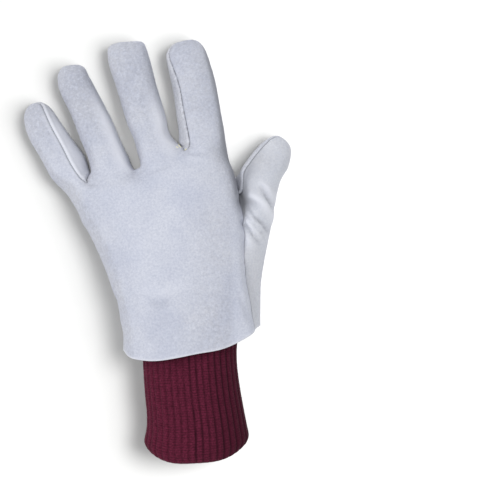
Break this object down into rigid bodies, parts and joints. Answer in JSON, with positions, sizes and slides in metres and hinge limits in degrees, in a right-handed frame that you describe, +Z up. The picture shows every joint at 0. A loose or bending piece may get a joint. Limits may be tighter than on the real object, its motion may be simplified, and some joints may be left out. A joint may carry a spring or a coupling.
{
  "type": "insulated leather work glove",
  "caption": "Left-hand work glove of pale split leather with a wing thumb, sewn-on palm patch and ribbed dark red knit wrist, lying palm down.",
  "frame": {"origin": "middle of the glove's outline, at the surface it lies on", "axes": "+Y from the wrist to the fingers, +X towards the thumb side, +Z up from the palm to the back of the hand"},
  "size_m": [0.1926, 0.3032, 0.049],
  "materials": {
    "back_leather": "pale blue-grey suede, matt",
    "palm_leather": "pale blue-grey suede, matt, a little rougher",
    "knit": "dark red ribbed knit"
  },
  "bodies": {
    "root": {"back_panel": "back_leather", "thumb_back": "back_leather", "palm_panel": "palm_leather", "middle_finger_front": "palm_leather", "ring_finger_front": "palm_leather", "finger_welt": "palm_leather", "palm_patch": "palm_leather", "pulse_tab": "palm_leather", "knit_wrist": "knit"}
  },
  "joints": []
}
